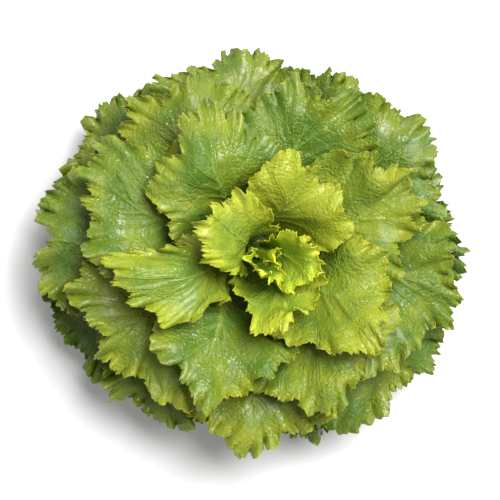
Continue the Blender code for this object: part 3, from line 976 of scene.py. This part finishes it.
def tint_group():
    """Shader group: the colour of a blade between its green and its yellow."""
    inputs = [(label, COLOUR, None) for label in ("Green", "Yellow", "Gold", "Pale")]
    labels = ("Tone", "Edge Tone", "Rim Strength", "Side", "Net", "Mesh", "Rib", "Rim")
    inputs += [(label, FLOAT, None) for label in labels]
    outputs = [("Colour", COLOUR, None)]
    tree, given, made = open_group("blade_tint", "ShaderNodeTree", inputs, outputs)
    spot, place, reach = (read(tree, label) for label in ("spot", "place", "reach"))
    upper = add(tree, "ShaderNodeAttribute", attribute_name="upper").outputs["Fac"]

    patches = calc(tree, "MULTIPLY_ADD", noise(tree, spot, PATCH_LUMP), *PATCH_SPAN)
    mottle = noise(tree, spot, MOTTLE_LUMP, 3.0, 0.6)
    mottle = calc(tree, "MULTIPLY_ADD", mottle, *MOTTLE_SPAN)
    outwards = ramp(tree, split(tree, reach)[0], *EDGE_FADE)
    outwards = calc(tree, "MULTIPLY", outwards, given["Edge Tone"])
    yellow = calc(tree, "ADD", calc(tree, "ADD", patches, mottle), outwards)
    yellow = calc(tree, "ADD", yellow, given["Tone"], clamp=True)
    colour = mix_colours(tree, yellow, given["Green"], given["Yellow"])
    lines = 0.0
    for label, strength in LINE_SHARES.items():
        lines = calc(tree, "MAXIMUM", lines, calc(tree, "MULTIPLY", given[label], strength))
    base = ramp(tree, split(tree, place)[2], *BASE_FADE)
    underside = calc(tree, "MULTIPLY_ADD", upper, -UNDERSIDE_PALE, UNDERSIDE_PALE)
    for mask in (base, lines, underside):
        colour = mix_colours(tree, mask, colour, given["Pale"])
    rim = calc(tree, "MULTIPLY", given["Rim"], given["Rim Strength"])
    tree.links.new(mix_colours(tree, rim, colour, given["Gold"]), made["Colour"])
    return tree


def relief_group():
    """Shader group: the height, roughness and sheen of a blade's fine relief."""
    inputs = [(label, FLOAT, None) for label in ("Side", "Net", "Mesh")]
    inputs += [("Blister Size", FLOAT, 0.0024), ("Dull", FLOAT, 0.50), ("Wet", FLOAT, 0.24)]
    outputs = [(label, FLOAT, None) for label in ("Height", "Roughness", "Sheen")]
    tree, given, made = open_group("blade_relief", "ShaderNodeTree", inputs, outputs)
    spot = read(tree, "spot")

    scale = calc(tree, "DIVIDE", 1.0, given["Blister Size"])
    inputs = {"Vector": spot, "Scale": scale, "Smoothness": DOME_SMOOTHNESS}
    cells = add(tree, "ShaderNodeTexVoronoi", inputs, feature="SMOOTH_F1").outputs["Distance"]
    zones = ramp(tree, noise(tree, spot, ZONE_LUMP, 1.0), *ZONE_RAMP)
    domes = calc(tree, "MULTIPLY", calc(tree, "MULTIPLY_ADD", cells, *DOME_SPAN), zones)
    grain = calc(tree, "MULTIPLY", noise(tree, spot, GRAIN_LUMP), GRAIN_HEIGHT)
    height = calc(tree, "ADD", domes, grain)
    for label, depth in LINE_DEPTHS.items():
        height = calc(tree, "SUBTRACT", height, calc(tree, "MULTIPLY", given[label], depth))
    wet = ramp(tree, noise(tree, spot, WET_LUMP), *WET_RAMP)
    span = calc(tree, "SUBTRACT", given["Wet"], given["Dull"])
    finish = {
        "Height": height,
        "Roughness": calc(tree, "MULTIPLY_ADD", wet, span, given["Dull"]),
        "Sheen": ramp(tree, noise(tree, spot, SHEEN_LUMP), *SHEEN_RAMP),
    }
    feed(tree, made, finish)
    return tree


def principled(name):
    """A new material, its tree and its shader."""
    material = bpy.data.materials.new(name)
    material.use_nodes = True
    return material, material.node_tree, material.node_tree.nodes["Principled BSDF"]


def place_group(tree, group, inputs):
    """The outputs of a group placed in a material with these inputs."""
    return add(tree, "ShaderNodeGroup", inputs, node_tree=group).outputs


def bump(tree, height, strength, distance):
    """A normal bent by this height."""
    inputs = {"Height": height, "Strength": strength, "Distance": distance}
    return add(tree, "ShaderNodeBump", inputs).outputs[0]


def blade_material(leaf, groups, colours):
    """One leaf's own material: its tone, veins, golden rim and gloss, with its colours scaled by
    painted light.
    """
    material, tree, shader = principled(f"blade_{leaf.number:02d}")
    veins = place_group(tree, groups["veins"], {})
    shared = {label: veins[label] for label in ("Side", "Net", "Mesh")}
    tint = {
        "Gold": (*colours.gold, 1.0),
        "Tone": leaf.tone,
        "Edge Tone": leaf.edge,
        "Rim Strength": leaf.rim,
        "Rib": veins["Rib"],
        "Rim": veins["Rim"],
    }
    # Green, yellow and pale are scaled by the leaf's painted light, which lightens the heart's
    # leaves in their shade
    for label in ("Green", "Yellow", "Pale"):
        tint[label] = (*(leaf.light * part for part in getattr(colours, label.lower())), 1.0)
    colour = place_group(tree, groups["tint"], {**shared, **tint})
    relief = place_group(tree, groups["relief"], shared)
    finish = {
        "Base Color": colour["Colour"],
        "Roughness": relief["Roughness"],
        "Coat Weight": relief["Sheen"],
        "Normal": bump(tree, relief["Height"], 1.0, colours.relief),
        "Specular IOR Level": SPECULAR,
        "Subsurface Weight": colours.glow,
        "Subsurface Radius": GLOW_RADIUS,
        "Subsurface Scale": BLADE_GLOW_DEPTH,
        "Coat Roughness": COAT_ROUGHNESS,
    }
    feed(tree, shader.inputs, finish)
    return material


def stem_material(colours):
    """Pale stem flesh, with a browned cut face that shows a ring of bundles."""
    material, tree, shader = principled("cut_stem")
    place = tree.nodes.new("ShaderNodeTexCoord").outputs["Object"]
    x, y, z = split(tree, place)
    squares = [calc(tree, "POWER", part, 2.0) for part in (x, y)]
    away = calc(tree, "SQRT", calc(tree, "ADD", *squares))
    mottle = noise(tree, place, FLESH_LUMP, 3.0, 0.6)
    fleck = noise(tree, place, FLECK_LUMP)

    cut = ramp(tree, z, *CUT_HEIGHTS, 1.0, 0.0)
    off = calc(tree, "ABSOLUTE", calc(tree, "SUBTRACT", away, BUNDLE_RADIUS))
    ring = calc(tree, "SUBTRACT", 1.0, calc(tree, "DIVIDE", off, BUNDLE_WIDTH), clamp=True)
    bundles = calc(tree, "MULTIPLY", ring, ramp(tree, fleck, *FLECK_RAMP))
    bundles = calc(tree, "MULTIPLY", bundles, cut)
    edge = calc(tree, "MULTIPLY", ramp(tree, away, *BROWN_RIM), cut)
    edge = calc(tree, "MULTIPLY", edge, BROWNED)
    brown = calc(tree, "MULTIPLY_ADD", mottle, BROWNED, edge)
    brown = calc(tree, "MULTIPLY", calc(tree, "MAXIMUM", brown, bundles), cut, clamp=True)

    names = ("flesh", "pale", "green", "rust")
    flesh, pale, green, rust = [(*getattr(colours, name), 1.0) for name in names]
    skin = mix_colours(tree, ramp(tree, z, *PALE_HEIGHTS), flesh, pale)
    skin = mix_colours(tree, ramp(tree, z, *GREEN_HEIGHTS), skin, green)
    skin = mix_colours(tree, ramp(tree, mottle, *STREAK_RAMP), skin, pale)
    height = calc(tree, "SUBTRACT", mottle, calc(tree, "MULTIPLY", bundles, BUNDLE_DEPTH))
    finish = {
        "Base Color": mix_colours(tree, brown, skin, rust),
        "Roughness": calc(tree, "MULTIPLY_ADD", fleck, *STEM_ROUGHNESS),
        "Normal": bump(tree, height, STEM_BUMP, colours.relief),
        "Subsurface Weight": colours.glow,
        "Subsurface Scale": STEM_GLOW_DEPTH,
    }
    feed(tree, shader.inputs, finish)
    return material


def length(name, description, default):
    """A setting in metres."""
    kept = {"name": name, "description": description, "default": default}
    return bpy.props.FloatProperty(unit="LENGTH", **kept)


def tint(name, description, default):
    """A setting that is a colour."""
    kept = {"name": name, "description": description, "default": default}
    return bpy.props.FloatVectorProperty(subtype="COLOR", size=3, **kept)


class LeafSettings(bpy.types.PropertyGroup):
    """Sizes of the fine forms of the leaves."""

    pucker_height: length("Pucker height", "How far the blade bulges between its veins", 0.0010)
    pucker_size: length("Pucker size", "Width of those bulges", 0.020)
    blister_height: length("Blister height", "How far the small blisters rise", 0.0004)
    blister_size: length("Blister size", "Width of the small blisters", 0.0065)
    vein_depth: length("Vein depth", "How deep the side veins lie in the upper face", 0.00025)
    vein_ridge: length("Vein ridge", "How far the side veins stand out underneath", 0.0008)


class FinishSettings(bpy.types.PropertyGroup):
    """Colours and gloss of the leaves and the stem."""

    green: tint("Green", "Blade colour of the greenest leaves", (0.034, 0.104, 0.003))
    yellow: tint("Yellow", "Blade colour of the yellowest leaves", (0.285, 0.302, 0.011))
    gold: tint("Gold", "Colour of the thin rim", (0.440, 0.370, 0.010))
    pale: tint("Pale", "Colour of the midrib and the veins", (0.220, 0.320, 0.045))
    flesh: tint("Flesh", "Colour of the stem", (0.560, 0.600, 0.330))
    rust: tint("Rust", "Colour that the cut face turns in air", (0.330, 0.150, 0.050))
    relief: length("Fine relief", "Height of the finest blisters", 0.0008)
    glow: bpy.props.FloatProperty(
        name="Glow",
        description="Share of the light that passes into the blade",
        default=0.15,
        subtype="FACTOR",
    )


class StageSettings(bpy.types.PropertyGroup):
    """The camera and the lights."""

    camera_height: length("Camera height", "Height of the camera above the floor", 1.30)
    half_view: length("Half view", "Half the width seen, a metre in front of the camera", 0.1386)
    lamp_power: bpy.props.FloatProperty(
        name="Lamp power",
        description="Power of the large soft lamp",
        default=41.0,
        unit="POWER",
    )
    sky: bpy.props.FloatProperty(
        name="Sky",
        description="Strength of the even light from all round",
        default=0.38,
    )


class LETTUCE_OT_leaves(bpy.types.Operator):
    """Builds the 28 fine leaves in place of the plain ones"""

    bl_idname = "lettuce.leaves"
    bl_label = "Leaves"

    def execute(self, context):
        sizes = context.scene.lettuce_leaf
        finish = context.scene.lettuce_finish
        groups = {"veins": vein_group(), "tint": tint_group(), "relief": relief_group()}
        tree = blade_tree()
        for leaf in LEAVES:
            self.build(leaf, tree, blade_material(leaf, groups, finish), sizes)
        return {"FINISHED"}

    @staticmethod
    def build(leaf, tree, material, sizes):
        """One leaf as one closed blade that stands for its solid."""
        rows, strides = sheet_rows(leaf)
        size = np.array([leaf.half_width, leaf.length])
        edge = path_lengths(outline_points(OUTLINE_SAMPLES) * size)[-1]
        eighths = 2 * ZONES[0][3]
        columns = eighths * round(2 * edge / MARGIN_SPACING / eighths)
        points, facts = leaf_sheet(leaf, columns, rows[:, None])
        faces = sheet_faces(len(rows), columns, strides)
        name = f"blade_{leaf.number:02d}"
        piece = link(name, plain_mesh(name, points, faces, facts))
        modifier = piece.modifiers.new("leaf_blade", "NODES")
        modifier.node_group = tree
        values = {"Seed": float(leaf.order), "Material": material}
        for name in LeafSettings.__annotations__:
            values[name.replace("_", " ").title()] = getattr(sizes, name)
        set_inputs(modifier, values)
        mesh = make_plain(piece)
        for label in ("skins", "skin"):
            mesh.attributes.remove(mesh.attributes[label])
        node = f"leaf_{leaf.number:02d}"
        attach(piece, BODY)
        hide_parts(node)


class LETTUCE_OT_stem(bpy.types.Operator):
    """Builds the fine stem in place of the plain one"""

    bl_idname = "lettuce.stem"
    bl_label = "Stem"

    def execute(self, context):
        finish = context.scene.lettuce_finish
        mesh = stem_mesh()
        mesh.shade_smooth()
        mesh.materials.append(stem_material(finish))
        piece = link("cut_stem", mesh)
        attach(piece, BODY)
        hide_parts("stem")
        return {"FINISHED"}


class LETTUCE_OT_stage(bpy.types.Operator):
    """Sets up the floor, the lights and the camera"""

    bl_idname = "lettuce.stage"
    bl_label = "Stage"

    def execute(self, context):
        scene = context.scene
        stage = scene.lettuce_stage
        floor = bpy.data.meshes.new("floor")
        side = FLOOR_HALF
        corners = [(-side, -side, 0), (side, -side, 0), (side, side, 0), (-side, side, 0)]
        floor.from_pydata(corners, [], [(0, 1, 2, 3)])
        material, tree, shader = principled("floor")
        grey = (FLOOR_GREY, FLOOR_GREY, FLOOR_GREY, 1.0)
        feed(tree, shader.inputs, {"Base Color": grey, "Roughness": FLOOR_ROUGHNESS})
        floor.materials.append(material)
        link("floor", floor)

        lamp = bpy.data.lights.new("soft_lamp", "AREA")
        lamp.energy = stage.lamp_power
        lamp.size = LAMP_SIDE
        lamp_object = link("soft_lamp", lamp)
        lamp_object.location = LAMP_PLACE
        lamp_object.rotation_euler = [math.radians(angle) for angle in LAMP_TURN]
        world = bpy.data.worlds.new("sky")
        world.use_nodes = True
        background = world.node_tree.nodes["Background"].inputs
        background["Color"].default_value = (1.0, 1.0, 1.0, 1.0)
        background["Strength"].default_value = stage.sky
        scene.world = world
        scene.view_settings.view_transform = "Standard"

        camera = bpy.data.cameras.new("camera")
        camera.sensor_width = SENSOR
        camera.lens = SENSOR / 2 / stage.half_view
        camera_object = link("camera", camera)
        camera_object.location = (0.0, CAMERA_OFF_Y, stage.camera_height)
        scene.camera = camera_object
        return {"FINISHED"}


class LETTUCE_PT_panel(bpy.types.Panel):
    """Lists the pieces and their settings"""

    bl_idname = "LETTUCE_PT_panel"
    bl_label = "Head of Lettuce"
    bl_space_type = "VIEW_3D"
    bl_region_type = "UI"
    bl_category = "Lettuce"

    def draw(self, context):
        scene = context.scene
        for settings in (scene.lettuce_leaf, scene.lettuce_finish, scene.lettuce_stage):
            box = self.layout.box()
            for name in settings.__annotations__:
                box.prop(settings, name)
        for operator in (LETTUCE_OT_leaves, LETTUCE_OT_stem, LETTUCE_OT_stage):
            self.layout.operator(operator.bl_idname)


CLASSES = (
    LeafSettings,
    FinishSettings,
    StageSettings,
    LETTUCE_OT_leaves,
    LETTUCE_OT_stem,
    LETTUCE_OT_stage,
    LETTUCE_PT_panel,
)
SETTINGS = {
    "lettuce_leaf": LeafSettings,
    "lettuce_finish": FinishSettings,
    "lettuce_stage": StageSettings,
}


def register():
    """Registers the classes and the scene's settings."""
    for item in CLASSES:
        bpy.utils.register_class(item)
    for name, item in SETTINGS.items():
        setattr(bpy.types.Scene, name, bpy.props.PointerProperty(type=item))


def unregister():
    """Takes them away again."""
    for name in SETTINGS:
        delattr(bpy.types.Scene, name)
    for item in reversed(CLASSES):
        bpy.utils.unregister_class(item)


def main():
    """Builds every piece and the stage."""
    register()
    bpy.ops.lettuce.leaves()
    bpy.ops.lettuce.stem()
    bpy.ops.lettuce.stage()


if __name__ == "__main__":
    main()
